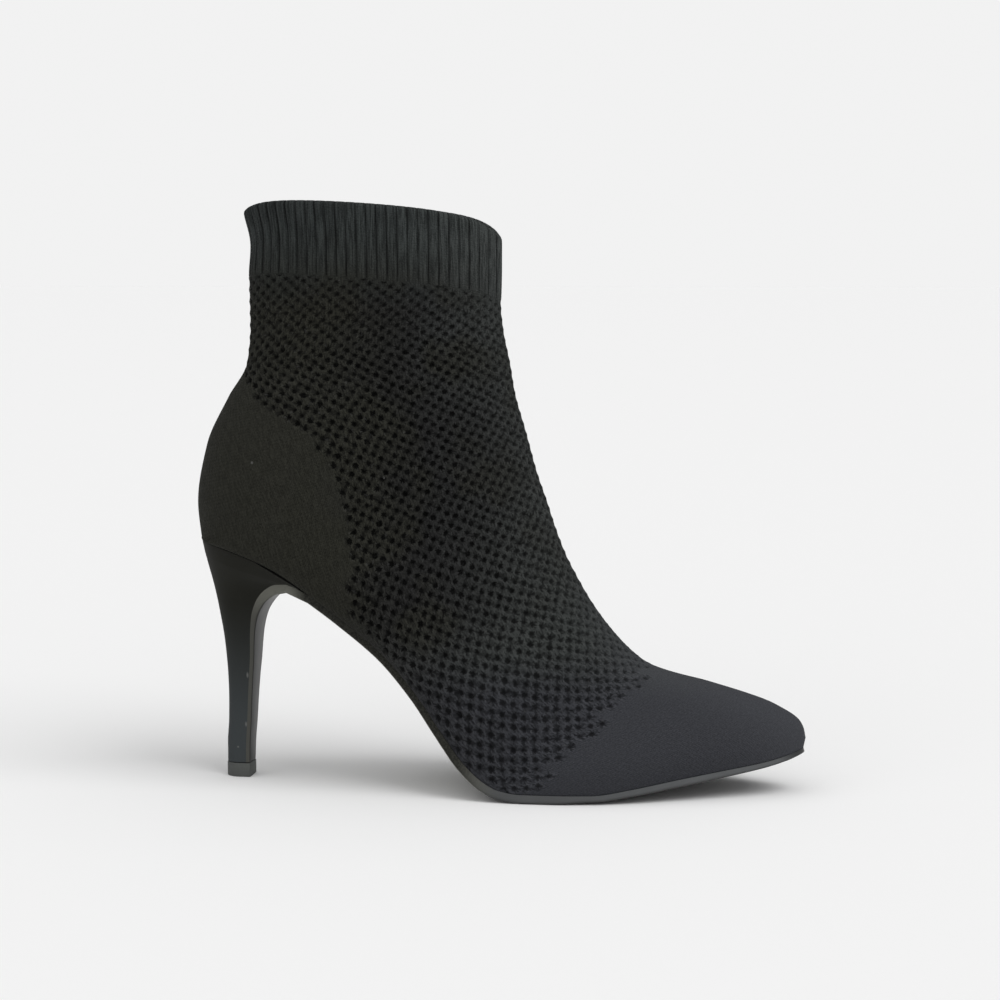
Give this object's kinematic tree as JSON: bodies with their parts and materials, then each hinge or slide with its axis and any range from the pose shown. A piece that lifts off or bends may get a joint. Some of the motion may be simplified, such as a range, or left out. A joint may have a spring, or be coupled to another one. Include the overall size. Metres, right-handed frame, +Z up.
{
  "type": "ankle boot",
  "caption": "Pull-on knit ankle boot with a ribbed cuff, an open-worked shaft and vamp, a plain toe and heel pocket, and a slim covered high heel",
  "frame": {"origin": "On the floor plane, under the middle of the boot's bounding box", "axes": "+X from heel to toe, +Y to the inner (medial) side, +Z up"},
  "size_m": [0.229, 0.0784, 0.2169],
  "materials": {
    "knit": "matte",
    "board": "matte",
    "sole": "satin",
    "heel_cover": "matte",
    "lift": "matte"
  },
  "bodies": {
    "root": {"upper": "knit", "insole": "board", "outsole": "sole", "heel": "heel_cover", "top_piece": "lift"}
  },
  "joints": []
}
